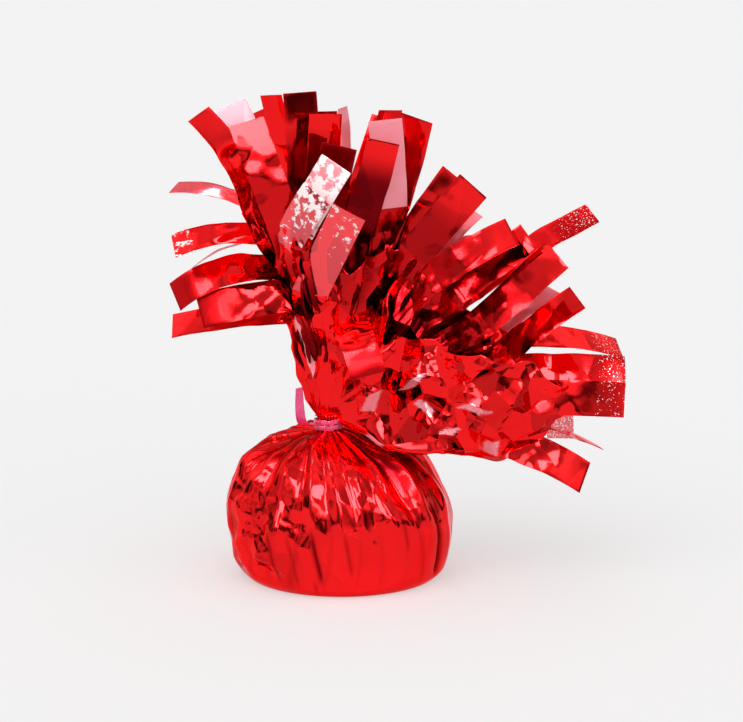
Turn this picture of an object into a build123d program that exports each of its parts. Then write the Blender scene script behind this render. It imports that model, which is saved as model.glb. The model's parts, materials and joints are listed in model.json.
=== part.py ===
from build123d import *
import os
from collections import namedtuple
from math import cos, degrees, exp, pi, radians, sin

# Foil balloon weight: a weighted cup wrapped in one sheet of metallised film, which is tied at the neck
# and spreads above the tie into two fringed plumes. Millimetres, +Z up, origin at the centre of the base.

# Film, drawn thicker than the real 0.03 mm; the depth of its pleats wavers from one to the next
film = 0.35
pouch_floor = 0.8
pouch_headroom = 4.0
film_clearance = 0.35
pleat_mean = 0.75
pleat_waver = 0.25
pleat_waver_phase = 2.4

# Weight cup and its cast fill
cup_base_radius = 25.2
cup_rim_radius = 29.4
cup_height = 20.5
cup_wall = 1.2
fill_clearance = 0.1
fill_edge_drop = 1.0
fill_crown = 9.0

# Pouch: height from the base beside the cup and from the cup's rim above it, how far the ridges of the pleats
# stand out from the cup's wall there, and the share by which the valleys between them are drawn in; the ridges
# are spread unevenly round the pouch
pouch_pleats = 20
pouch_pleat_spread = 0.09
pouch_pleat_spread_phase = 1.2
pouch_wall_rings = [(0.0, 2.15, 0.00), (2.5, 4.05, 0.005), (8.0, 5.0, 0.01), (15.0, 4.7, 0.015)]
pouch_shoulder_rings = [
    (0.2, 3.0, 0.03),
    (6.7, 0.4, 0.06),
    (12.2, -3.0, 0.09),
    (16.2, -7.8, 0.12),
    (18.7, -14.0, 0.14),
    (19.9, -19.8, 0.15),
]
neck_offset = -3.7
neck_radius = 3.2
neck_rise = 20.5
neck_length = 5.0

# Twist tie round the neck
tie_diameter = 1.1
tie_wire_diameter = 0.45
tie_wire_clearance = 0.04
tie_turns = 2
tie_pitch = 1.56
tie_clearance = 0.3
tie_start_bearing = 150
tie_end_width = 2.4
tie_end_tip_width = 1.2
tie_end_thickness = 0.9
tie_end_twist = 55
tie_end_bearing = 217
tie_end_face = (0.7, -0.7, 0)
tie_end_clearance = 0.3
tie_end_route = [(0, 0, 0), (-2.6, -2.2, 0.3), (-3.8, -3.6, 2.2), (-4.2, -4.3, 6.2), (-4.3, -4.6, 11.6)]

# Plumes: distance along the axis, half width and half depth to the ridges, the share by which the lower edge
# hangs, and the share by which the film is cut back at the mouth
Ring = namedtuple("Ring", "along half_width half_depth sag mouth", defaults=(0, 0))
plume_clearance = 0.4
plume_pleats = 15
plume_valley_at_neck = 0.10
plume_valley = 0.48
plume_open_at = 22.0
calm_start = 0.2
calm_span = 0.9
mouth_bearing = 42
mouth_breadth = 34
upright_calm = 0.0
upright_offset = -1.6
upright_rings = [
    Ring(0.0, 1.3, 2.4),
    Ring(10.0, 7.0, 4.8),
    Ring(22.0, 10.6, 7.2),
    Ring(36.0, 14.6, 10.4),
    Ring(50.0, 18.4, 13.4),
    Ring(62.0, 21.5, 16.0),
]
side_calm = 0.85
side_elevation = 28.7
side_bearing = -8.5
side_rings = [
    Ring(2.6, 1.3, 1.4),
    Ring(12.0, 7.7, 5.0, sag=0.54),
    Ring(24.0, 16.5, 9.6, sag=0.68, mouth=0.25),
    Ring(36.0, 26.0, 13.2, sag=0.30, mouth=0.33),
    Ring(44.0, 33.4, 15.0, mouth=0.10),
    Ring(52.0, 27.0, 13.0),
    Ring(57.0, 12.0, 7.0),
]

# Fringe strips: where each leaves its plume (distance along the axis, angle round it, share of the ring's
# radius), its reach from root to tip, the way its face looks, and how far it bows towards that side
strip_width = 10.0
strip_root_depth = 0.8
slot_clearance = 0.6
Strip = namedtuple("Strip", "along around share reach facing bow")
upright_strips = [
    Strip(29, 180, 1.0, (-30.5, 2, -5), (0, -0.55, 0.83), 1.5),
    Strip(35, 215, 1.0, (-23, -3.2, -4), (0, -0.86, 0.5), 1.5),
    Strip(42, 193, 1.0, (-26, -4.5, -7), (0, -0.63, 0.78), 4.5),
    Strip(52, 190, 1.0, (-23.5, -3.5, -2.3), (0, -0.5, 0.87), 1.8),
    Strip(49, 150, 1.0, (-24, 3.5, -12), (-0.45, 0.2, 0.87), 3.0),
    Strip(60, 165, 1.0, (-22.5, 4, 3.5), (0.15, -0.3, 0.94), 2.0),
    Strip(61, 195, 1.0, (-14, 0, 25.5), (0.7, -0.57, 0.4), 3.0),
    Strip(62, 168, 0.68, (-12, 1.5, 26), (-0.1, -0.8, 0.6), 1.0),
    Strip(62, 232, 0.95, (-8.5, 2, 23), (-0.2, -0.75, 0.63), 2.0),
    Strip(62, 130, 0.5, (-7, -1.5, 29), (-0.75, -0.62, 0.2), 1.0),
    Strip(62, 180, 0.25, (-1, 0, 30), (0.35, -0.93, 0.1), 1.0),
    Strip(62, 97, 0.62, (0.8, -0.8, 23.5), (0.1, -0.95, -0.3), -1.0),
    Strip(62, 265, 0.3, (1, 1, 24.5), (0.5, -0.85, 0.1), 0.5),
    Strip(62, 55, 0.42, (1, 0.5, 25), (0.97, -0.2, 0), 1.0),
    Strip(56, 252, 1.0, (10.5, -1.5, 18), (0.05, -0.75, 0.66), 1.0),
    Strip(51, 240, 1.0, (7.5, -7, 15), (0.05, -0.75, 0.66), 1.0),
    Strip(37, 257, 1.0, (11, -14, 25), (0.15, -0.93, 0.33), -1.0),
    Strip(27, 308, 1.0, (5.5, -13, -12), (-0.1, -0.5, 0.86), 3.5),
    Strip(62, 35, 0.65, (7, -3, 25), (0.75, -0.6, -0.25), 1.0),
    Strip(62, 338, 0.95, (-1, -2, 23), (0.2, -0.8, 0.56), 0.5),
    Strip(62, 357, 0.95, (6, -1, 23), (-0.3, -0.9, 0.2), -1.0),
    Strip(62, 315, 0.8, (5, -2, 17.5), (0.3, -0.9, 0.2), 0.5),
    Strip(62, 277, 0.68, (3, -1, 16.5), (0.1, -0.95, -0.3), -1.0),
    Strip(62, 125, 0.95, (-9, 9, 21), (-0.2, 0.7, 0.6), 1.5),
    Strip(62, 90, 0.95, (0, 12, 21), (0, 0.8, 0.5), 2.0),
    Strip(62, 55, 0.95, (7, 9, 20), (0.2, 0.7, 0.6), 1.5),
    Strip(45, 110, 1.0, (-8, 25, -2), (0, 0.2, 0.97), 3.0),
    Strip(38, 60, 1.0, (8, 24, -2), (0, 0.2, 0.97), 3.0),
]
side_strips = [
    Strip(44, 350, 1.0, (13.5, -1, 19), (-0.3, -0.85, 0.4), 0.5),
    Strip(46, 4, 0.97, (15.5, -2, 18.5), (-0.1, -0.9, 0.3), 0.5),
    Strip(48, 330, 1.0, (11, 3, 12), (-0.3, -0.6, 0.7), 0.5),
    Strip(50, 36, 1.0, (19.5, -1, 12), (-0.2, -0.75, 0.63), 1.0),
    Strip(53, 45, 1.0, (19, 1, 14), (-0.2, -0.85, 0.5), -1.0),
    Strip(56, 70, 1.0, (19, -1, 17.5), (-0.3, -0.8, 0.5), 0.6),
    Strip(55, 310, 1.0, (32, 3, 20.5), (-0.3, -0.54, 0.78), 1.5),
    Strip(57, 120, 1.0, (18, 0.4, 14.5), (-0.2, -0.6, 0.77), 0.5),
    Strip(57, 250, 1.0, (10, 6, 12), (-0.3, -0.6, 0.7), 0.5),
    Strip(57, 235, 1.0, (30, 8, -5.5), (0.1, -0.45, 0.89), 3.0),
    Strip(56, 185, 1.0, (28.5, 0.5, -0.8), (0, -0.75, 0.66), 1.0),
    Strip(53, 147, 1.0, (28.5, -2, -0.5), (0, -0.95, 0.3), 0.6),
    Strip(52, 238, 1.0, (12, 6, -14), (0.6, 0.2, 0.75), 3.0),
    Strip(44, 172, 1.0, (19.5, -0.2, -9.5), (0.15, -0.85, 0.5), 1.5),
    Strip(47, 195, 1.0, (22, 4.5, -8), (0.1, 0.1, 0.99), 1.5),
    Strip(42, 306, 1.0, (8, 22, 10), (-0.3, -0.2, 0.9), 2.0),
    Strip(46, 265, 1.0, (16, 20, 2), (0, 0, 1), 2.0),
    Strip(42, 219, 1.0, (14, 20, -8), (0.2, 0.2, 0.95), 2.0),
    Strip(34, 250, 1.0, (8, 24, -8), (0.1, 0.3, 0.95), 2.5),
    Strip(30, 290, 1.0, (5, 25, 3), (0, -0.1, 1), 2.5),
]

os.makedirs("parts", exist_ok=True)


def save(builder, name):
    """Label a finished piece and write it under its own name."""
    builder.part.label = name
    export_step(builder.part, f"parts/{name}.step")


def pleat_depth(step):
    """Share of the full depth that a corner of a pleated ring has: none on ridges, a wavering one in valleys."""
    if step % 2:
        return pleat_mean + pleat_waver * sin(pleat_waver_phase * step)
    return 0


def pouch_section(plane, radius, valley):
    """A closed star on the plane, with unevenly spread ridges and valleys drawn in by the given share."""
    corners = []
    for step in range(2 * pouch_pleats):
        even = pi * step / pouch_pleats
        turn = even + pouch_pleat_spread * sin(3 * even + pouch_pleat_spread_phase)
        size = radius * (1 - valley * pleat_depth(step))
        corners.append((size * cos(turn), size * sin(turn)))
    with BuildSketch(plane) as section:
        Polygon(*corners, align=None)
    return section.sketch


def ring_at(rings, along):
    """A plume's ring at a distance along its axis, straight between the given rings on either side."""
    for near, far in zip(rings, rings[1:]):
        if along <= far.along:
            share = (along - near.along) / (far.along - near.along)
            return Ring(*(first + share * (second - first) for first, second in zip(near, far)))
    return rings[-1]


def ring_point(ring, turn):
    """A ridge's place on a ring: an ellipse that hangs on its lower side and is cut back at the mouth."""
    off_mouth = (degrees(turn) - mouth_bearing + 180) % 360 - 180
    size = 1 - ring.mouth * exp(-((off_mouth / mouth_breadth) ** 2))
    hang = 1 + ring.sag * max(0, -cos(turn)) ** 2
    return ring.half_width * size * hang * cos(turn), ring.half_depth * size * sin(turn)


def strip_plane(strip, axis, rings):
    """The plane of a strip's bow: origin at its root, x towards its tip, y the way its face looks."""
    across, forward = ring_point(ring_at(rings, strip.along), radians(strip.around))
    root = axis.from_local_coords((strip.share * across, strip.share * forward, strip.along))
    reach = Vector(*strip.reach)
    return Plane(origin=root, x_dir=reach, z_dir=reach.cross(Vector(*strip.facing)))


def strip_profile(strip, plane, thickness, root_depth):
    """A strip's bowed section: two arcs a film's thickness apart, from inside its root to its tip."""
    length = Vector(*strip.reach).length
    half = thickness / 2
    with BuildSketch(plane) as profile:
        with BuildLine():
            ThreePointArc((-root_depth, half), (length / 2, strip.bow + half), (length, half))
            Line((length, half), (length, -half))
            ThreePointArc((length, -half), (length / 2, strip.bow - half), (-root_depth, -half))
            Line((-root_depth, -half), (-root_depth, half))
        make_face()
    return profile.sketch


def plume_sections(axis, rings, calm):
    """The pleated rings of a plume, with valleys that deepen away from the neck and are calmed in front."""
    sections = []
    for ring in rings:
        opened = min(1, ring.along / plume_open_at)
        valley = plume_valley_at_neck + opened * (plume_valley - plume_valley_at_neck)
        corners = []
        for step in range(2 * plume_pleats):
            turn = pi * step / plume_pleats
            across, forward = ring_point(ring, turn)
            calmed = calm * min(1, max(0, (sin(turn) + calm_start) / calm_span))
            size = 1 - valley * (1 - calmed) * pleat_depth(step)
            corners.append((across * size, forward * size))
        with BuildSketch(axis.offset(ring.along)) as section:
            Polygon(*corners, align=None)
        sections.append(section.sketch)
    return sections


# Weight cup: a tapered thin cup standing on the pouch's floor
cup_rim = pouch_floor + cup_height
with BuildPart() as weight_cup:
    with BuildSketch(Plane.XZ) as cup_profile:
        with BuildLine():
            Polyline(
                (0, pouch_floor),
                (cup_base_radius, pouch_floor),
                (cup_rim_radius, cup_rim),
                (cup_rim_radius - cup_wall, cup_rim),
                (cup_base_radius - cup_wall, pouch_floor + cup_wall),
                (0, pouch_floor + cup_wall),
                close=True,
            )
        make_face()
    revolve(axis=Axis.Z)
save(weight_cup, "weight_cup")

# Cast fill: it follows the cup's inside and stands up in a crown above the rim
fill_bottom = pouch_floor + cup_wall
fill_edge = cup_rim - fill_edge_drop
fill_taper = (cup_rim_radius - cup_base_radius) / (cup_height - cup_wall)
fill_base_radius = cup_base_radius - cup_wall - fill_clearance
fill_edge_radius = fill_base_radius + fill_taper * (fill_edge - fill_bottom)
fill_top = fill_edge + fill_crown


def crown_arc(edge_radius, edge_height, crown):
    """Rim, middle and top point of a shallow round crown."""
    ball = (edge_radius**2 + crown**2) / (2 * crown)
    half_radius = edge_radius / 2
    middle = edge_height + crown - ball + (ball**2 - half_radius**2) ** 0.5
    return (edge_radius, edge_height), (half_radius, middle), (0, edge_height + crown)


with BuildPart() as cement_fill:
    with BuildSketch(Plane.XZ) as fill_profile:
        with BuildLine():
            Polyline(
                (0, fill_top),
                (0, fill_bottom),
                (fill_base_radius, fill_bottom),
                (fill_edge_radius, fill_edge),
            )
            ThreePointArc(*crown_arc(fill_edge_radius, fill_edge, fill_crown))
        make_face()
    revolve(axis=Axis.Z)
save(cement_fill, "cement_fill")

# Pouch: pleated film round the cup, drawn in to a solid gathered neck
cavity_base_radius = cup_base_radius + film_clearance
cavity_rim_radius = cup_rim_radius + film_clearance
cavity_rim = cup_rim + film_clearance
cavity_crown = neck_rise - pouch_headroom
neck_bottom = cup_rim + neck_rise
neck_top = neck_bottom + neck_length
cup_taper = (cup_rim_radius - cup_base_radius) / cup_height
pouch_rings = []
for height, proud, valley in pouch_wall_rings:
    cup_radius = cup_base_radius + cup_taper * (height - pouch_floor)
    pouch_rings.append((height, cup_radius + proud, valley))
for height, proud, valley in pouch_shoulder_rings:
    pouch_rings.append((cup_rim + height, cup_rim_radius + proud, valley))
pouch_rings.append((neck_bottom, neck_radius, plume_valley_at_neck))
pouch_rings.append((neck_top, neck_radius, plume_valley_at_neck))
with BuildPart() as foil_pouch:
    pouch_sections = []
    for height, radius, valley in pouch_rings:
        leaning = min(1, height / neck_bottom)
        ring_plane = Plane((neck_offset * leaning**2, 0, height))
        pouch_sections.append(pouch_section(ring_plane, radius, valley))
    loft(pouch_sections, ruled=True)
    with BuildSketch(Plane.XZ) as cavity_profile:
        with BuildLine():
            Polyline(
                (0, cavity_rim + cavity_crown),
                (0, pouch_floor),
                (cavity_base_radius, pouch_floor),
                (cavity_rim_radius, cavity_rim),
            )
            ThreePointArc(*crown_arc(cavity_rim_radius, cavity_rim, cavity_crown))
        make_face()
    revolve(axis=Axis.Z, mode=Mode.SUBTRACT)
save(foil_pouch, "foil_pouch")

# Twist tie: a round cover wound on the neck with a wire in its bore, its ends straight for one diameter
tie_radius = neck_radius + tie_clearance + tie_diameter / 2
tie_bottom = (neck_bottom + neck_top - tie_turns * tie_pitch) / 2
quarter_turns = 4 * tie_turns


def tie_point(quarter):
    """A point of the winding after so many quarter turns, starting at the back left."""
    turn = radians(tie_start_bearing + 90 * quarter)
    return Vector(
        neck_offset + tie_radius * cos(turn),
        tie_radius * sin(turn),
        tie_bottom + tie_pitch * quarter / 4,
    )


tie_start_turn = radians(tie_start_bearing)
tie_rise = tie_pitch / (2 * pi)
tie_start_tangent = Vector(
    -tie_radius * sin(tie_start_turn), tie_radius * cos(tie_start_turn), tie_rise
).normalized()
with BuildLine() as tie_path:
    Line(tie_point(0) - tie_start_tangent * tie_diameter, tie_point(0))
    tangent = tie_start_tangent
    for quarter in range(quarter_turns):
        turn_arc = TangentArc(tie_point(quarter), tie_point(quarter + 1), tangent=tangent)
        tangent = turn_arc % 1
    Line(tie_point(quarter_turns), tie_point(quarter_turns) + tangent * tie_diameter)
tie_start_plane = Plane(origin=tie_path.line @ 0, z_dir=tie_path.line % 0)

with BuildPart() as tie_cover:
    with BuildSketch(tie_start_plane) as cover_section:
        Circle(tie_diameter / 2)
        Circle(tie_wire_diameter / 2 + tie_wire_clearance, mode=Mode.SUBTRACT)
    sweep(path=tie_path.line)
save(tie_cover, "tie_cover")

with BuildPart() as tie_wire:
    with BuildSketch(tie_start_plane) as wire_section:
        Circle(tie_wire_diameter / 2)
    sweep(path=tie_path.line)
save(tie_wire, "tie_wire")

steps_a_turn = 48
winding = [tie_point(4 * step / steps_a_turn) for step in range(tie_turns * steps_a_turn + 1)]
tie_gap = min(
    (first - second).length - tie_diameter
    for index, first in enumerate(winding)
    for second in winding[index + steps_a_turn // 2:]
)
print(f"least gap between the tie's turns: {tie_gap:.2f} mm")

# Tie end: the two ends of the tie twisted into one flat blade that stands beside the neck
with BuildPart() as tie_end:
    blade_sections = []
    last = len(tie_end_route) - 1
    blade_start = tie_radius + tie_diameter / 2 + tie_end_clearance
    blade_root = Vector(
        neck_offset + blade_start * cos(radians(tie_end_bearing)),
        blade_start * sin(radians(tie_end_bearing)),
        (neck_bottom + neck_top) / 2,
    )
    for index, offset_from_root in enumerate(tie_end_route):
        before = Vector(*tie_end_route[max(index - 1, 0)])
        after = Vector(*tie_end_route[min(index + 1, last)])
        blade_point = blade_root + Vector(*offset_from_root)
        blade_plane = Plane(origin=blade_point, x_dir=tie_end_face, z_dir=after - before)
        width = tie_end_width + (tie_end_tip_width - tie_end_width) * index / last
        with BuildSketch(blade_plane) as blade_section:
            Rectangle(width, tie_end_thickness, rotation=tie_end_twist * index)
        blade_sections.append(blade_section.sketch)
    loft(blade_sections, ruled=True)
save(tie_end, "tie_end")

# Plumes: gathered film above the tie, each slotted where its strips leave it
upright_axis = Plane((neck_offset + upright_offset, 0, neck_top + plume_clearance))
side_direction = Vector(
    cos(radians(side_elevation)) * cos(radians(side_bearing)),
    cos(radians(side_elevation)) * sin(radians(side_bearing)),
    sin(radians(side_elevation)),
)
side_axis = Plane(
    origin=(neck_offset, 0, neck_top + plume_clearance),
    x_dir=Vector(0, 1, 0).cross(side_direction) * -1,
    z_dir=side_direction,
)
plumes = [
    ("upright", upright_axis, upright_rings, upright_calm, upright_strips),
    ("side", side_axis, side_rings, side_calm, side_strips),
]
for plume_name, plume_axis, plume_rings, plume_calm, plume_strips in plumes:
    slot_thickness = film + 2 * slot_clearance
    slot_half_width = strip_width / 2 + slot_clearance
    slot_depth = strip_root_depth + slot_clearance
    with BuildPart() as plume:
        loft(plume_sections(plume_axis, plume_rings, plume_calm), ruled=True)
        for strip in plume_strips:
            bow_plane = strip_plane(strip, plume_axis, plume_rings)
            slot = strip_profile(strip, bow_plane, slot_thickness, slot_depth)
            extrude(slot, amount=slot_half_width, both=True, mode=Mode.SUBTRACT)
    save(plume, f"{plume_name}_plume")

    for number, strip in enumerate(plume_strips, start=1):
        with BuildPart() as fringe_strip:
            bow_plane = strip_plane(strip, plume_axis, plume_rings)
            band = strip_profile(strip, bow_plane, film, strip_root_depth)
            extrude(band, amount=strip_width / 2, both=True)
        save(fringe_strip, f"{plume_name}_fringe_{number:02d}")
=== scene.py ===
import json
import math

import bpy
import numpy as np
from mathutils.bvhtree import BVHTree
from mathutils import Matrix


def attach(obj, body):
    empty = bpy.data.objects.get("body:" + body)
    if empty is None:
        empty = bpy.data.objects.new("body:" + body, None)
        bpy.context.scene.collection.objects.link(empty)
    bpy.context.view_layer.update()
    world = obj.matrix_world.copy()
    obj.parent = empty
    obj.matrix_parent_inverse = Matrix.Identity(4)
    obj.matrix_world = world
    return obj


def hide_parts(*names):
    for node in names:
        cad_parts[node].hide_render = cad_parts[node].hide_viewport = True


# Foil balloon weight. Shapes are worked out in millimetres and go into the meshes in metres.
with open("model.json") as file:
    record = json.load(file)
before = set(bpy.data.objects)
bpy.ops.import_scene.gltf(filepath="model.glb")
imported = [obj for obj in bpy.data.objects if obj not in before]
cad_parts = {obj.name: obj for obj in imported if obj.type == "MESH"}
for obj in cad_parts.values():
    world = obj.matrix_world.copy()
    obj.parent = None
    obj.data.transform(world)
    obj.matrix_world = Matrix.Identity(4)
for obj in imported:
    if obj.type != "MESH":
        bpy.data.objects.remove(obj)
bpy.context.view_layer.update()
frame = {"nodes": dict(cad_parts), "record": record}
mm = 0.001
bodyOf = {node: body for body, nodes in frame["record"]["behaviour"]["bodies"].items() for node in nodes}


# Shape tools

def unit(v):
    # each vector divided by its own length
    return v / np.linalg.norm(v, axis=-1, keepdims=True)


def ease(x):
    # smooth step from 0 to 1: three x squared less two x cubed
    x = np.clip(x, 0, 1)
    return x * x * (3 - 2 * x)


def ramp(x, begin, reach):
    # 0 up to begin, 1 from begin plus reach on, and eased between them
    return ease((x - begin) / reach)


def between(ends, share):
    # goes from the first of two values to the second as share goes from 0 to 1
    return ends[0] + (ends[1] - ends[0]) * share


def zigzag(x):
    # triangle wave of period 1 from -1 to 1: four times the distance to the nearest whole number, less 1
    return 4 * np.abs(x - np.round(x)) - 1


def offBearing(turn, bearing):
    # degrees from a bearing to a turn in radians, brought between -180 and 180
    return (np.degrees(turn) - bearing + 180) % 360 - 180


def bell(turn, bearing, breadth):
    # bell curve of the angle from a bearing
    return np.exp(-(offBearing(turn, bearing) / breadth) ** 2)


def creases(points, seed, count, spacing, slope):
    # flat facets between straight creases: a sum of zigzags through space, each along its own direction and
    # with its own spacing, whose height is a quarter of slope times spacing
    draw = np.random.default_rng(seed)
    headings = unit(draw.normal(size=(count, 3)))
    widths, starts = draw.uniform(*spacing, count), draw.random(count)
    height = np.zeros(points.shape[:-1])
    for heading, wide, start in zip(headings, widths, starts):
        height += slope * wide / 4 * zigzag(points @ heading / wide + start)
    return height


def unevenPleats(turn, count, seed, stray=0.42, least=0.25):
    # a star that is straight between its corners: they lie near even steps of the turn, by turns above and
    # below nought, each with its own height
    draw = np.random.default_rng(seed)
    corner = np.arange(2 * count)
    place = np.pi * (corner + draw.uniform(-stray, stray, corner.size)) / count
    height = np.where(corner % 2, -1, 1) * draw.uniform(least, 1, corner.size)
    return np.interp(turn, place, height, period=2 * np.pi)


def smoothLine(points, count, stepsPerPoint=40):
    # Catmull-Rom curve through every given point, read again at equal steps of its own length
    p = np.array(points, float)
    p = np.vstack([2 * p[0] - p[1], p, 2 * p[-1] - p[-2]])
    t = np.linspace(0, len(p) - 3, stepsPerPoint * len(p))
    i = np.minimum(t.astype(int), len(p) - 4)
    f = (t - i)[:, None]
    a, b, c, d = p[i], p[i + 1], p[i + 2], p[i + 3]
    line = b + f / 2 * (c - a + f * (2 * a - 5 * b + 4 * c - d + f * (3 * (b - c) + d - a)))
    run = np.concatenate([[0], np.cumsum(np.linalg.norm(np.diff(line, axis=0), axis=1))])
    want = np.linspace(0, run[-1], count)
    return np.stack([np.interp(want, run, line[:, k]) for k in range(p.shape[1])], 1)


def filmObject(name, sheets, material, thick=None, marks=None):
    # each sheet is a grid of points, rows by columns, with whether its columns close on themselves and
    # whether its first and last rows are capped; a face joins each point to the next in its row and in the
    # row above
    points, faces, start = [], [], 0
    for grid, closed, capped in sheets:
        number = start + np.arange(grid.shape[0] * grid.shape[1]).reshape(grid.shape[:2])
        here = number if closed else number[:, :-1]
        ahead = np.roll(number, -1, 1) if closed else number[:, 1:]
        faces += np.stack([here[:-1], ahead[:-1], ahead[1:], here[1:]], -1).reshape(-1, 4).tolist()
        if capped:
            faces += [number[0][::-1].tolist(), number[-1].tolist()]
        points.append(grid.reshape(-1, 3))
        start += number.size
    mesh = bpy.data.meshes.new(name)
    mesh.from_pydata(np.concatenate(points) * mm, [], faces)
    mesh.polygons.foreach_set("use_smooth", np.ones(len(mesh.polygons), bool))
    for mark, values in (marks or {}).items():
        layer = mesh.attributes.new(mark, "FLOAT", "POINT")
        layer.data.foreach_set("value", values.ravel().astype(np.float32))
    mesh.materials.append(material)
    piece = bpy.data.objects.new(name, mesh)
    bpy.context.scene.collection.objects.link(piece)
    if thick:
        wall = piece.modifiers.new("film", "SOLIDIFY")
        wall.thickness = thick * mm
        wall.offset = 0
        piece.modifiers.new("even", "WEIGHTED_NORMAL")  # keeps the thin rim from bending the shading
    return piece


# Material tools

def newMaterial(name, **values):
    # a principled surface with its constant values on the shader's own sockets
    material = bpy.data.materials.new(name)
    material.use_nodes = True
    shader = material.node_tree.nodes["Principled BSDF"]
    for socket, value in values.items():
        shader.inputs[socket.replace("_", " ")].default_value = value
    return material, shader


def addNode(owner, kind, inputs=None, **settings):
    # one node of a material or world, its settings, and for each input a value or another node's output
    node = owner.node_tree.nodes.new(kind)
    for key, value in settings.items():
        setattr(node, key, value)
    for key, value in (inputs or {}).items():
        if isinstance(value, bpy.types.NodeSocket):
            owner.node_tree.links.new(value, node.inputs[key])
        else:
            node.inputs[key].default_value = value
    return node


def readMark(material, mark):
    # one of the mesh's own values, such as how shaded or how worn it is
    return addNode(material, "ShaderNodeAttribute", attribute_name=mark).outputs["Fac"]


def objectNoise(material, scale, detail, roughness=0.5):
    # soft noise over the piece's own coordinates
    place = addNode(material, "ShaderNodeTexCoord").outputs["Object"]
    inputs = {"Vector": place, "Scale": scale, "Detail": detail, "Roughness": roughness}
    return addNode(material, "ShaderNodeTexNoise", inputs).outputs["Fac"]


def spread(material, value, span, result=(0, 1)):
    # goes from the first end of result to the second while the value goes through span
    ends = {"From Min": span[0], "From Max": span[1], "To Min": result[0], "To Max": result[1]}
    return addNode(material, "ShaderNodeMapRange", {"Value": value, **ends}).outputs["Result"]


def pair(owner, operation, first, second):
    # sum, product or larger one of two values
    return addNode(owner, "ShaderNodeMath", {0: first, 1: second}, operation=operation).outputs[0]


def vectorMath(material, operation, inputs):
    # one step of vector arithmetic
    return addNode(material, "ShaderNodeVectorMath", inputs, operation=operation).outputs[0]


def mixColour(material, share, first, second):
    # the first colour where share is 0 and the second where it is 1
    return addNode(material, "ShaderNodeMix", {0: share, 6: first, 7: second}, data_type="RGBA").outputs[2]


def reliefFrom(material, shader, height, depth, strength=0.4):
    # fine relief as deep as depth, in millimetres
    inputs = {"Height": height, "Strength": strength, "Distance": depth * mm}
    relief = addNode(material, "ShaderNodeBump", inputs)
    material.node_tree.links.new(relief.outputs["Normal"], shader.inputs["Normal"])


# Red metallised film: a clear lacquer over a red mirror, broken into flat facets of different depth, with
# painted shade in deep red where folds, crevices and the plumes' undersides lie in shadow, a pale pink matt
# painted highlight that stands in for soft boxes mirrored in the film, white flakes where it has rubbed and
# fine glitter on some strips
foil = dict(
    red=(0.98, 0.008, 0.010, 1), deep=(0.92, 0.006, 0.008, 1), facet=(0.50, 0.003, 0.004, 1),
    # the darkest red is painted shade in folds and hollows; pale is the colour of the pale pink painted
    # highlight
    paintedShade=(0.09, 0.0, 0.002, 1), pale=(0.93, 0.36, 0.42, 1), flake=(0.96, 0.84, 0.84, 1),
    edgeTint=(1, 0.16, 0.2, 1), lacquerRoughness=0.03, lacquerIndex=1.45,
    lacquer=(0.2, 0.03), shadeBlur=0.9,  # lacquer where there is no painted shade and where it is full
    roughness=(0.05, 0.4), metal=(1, 0.25),  # where it shines and where it is matt
    cloudScale=38, cloudEdge=(0.35, 0.65), facetEdge=(0.4, 0.75),
    flakeScale=420, flakeEdge=(1.0, 1.05), glitterScale=2000, glitterEdge=(1.0, 1.04), glitterWhite=0.8,
    shardTurn=(0.6, 0.35, 0.9), shardShape=(1.35, 0.7, 0.95),
)


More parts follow.
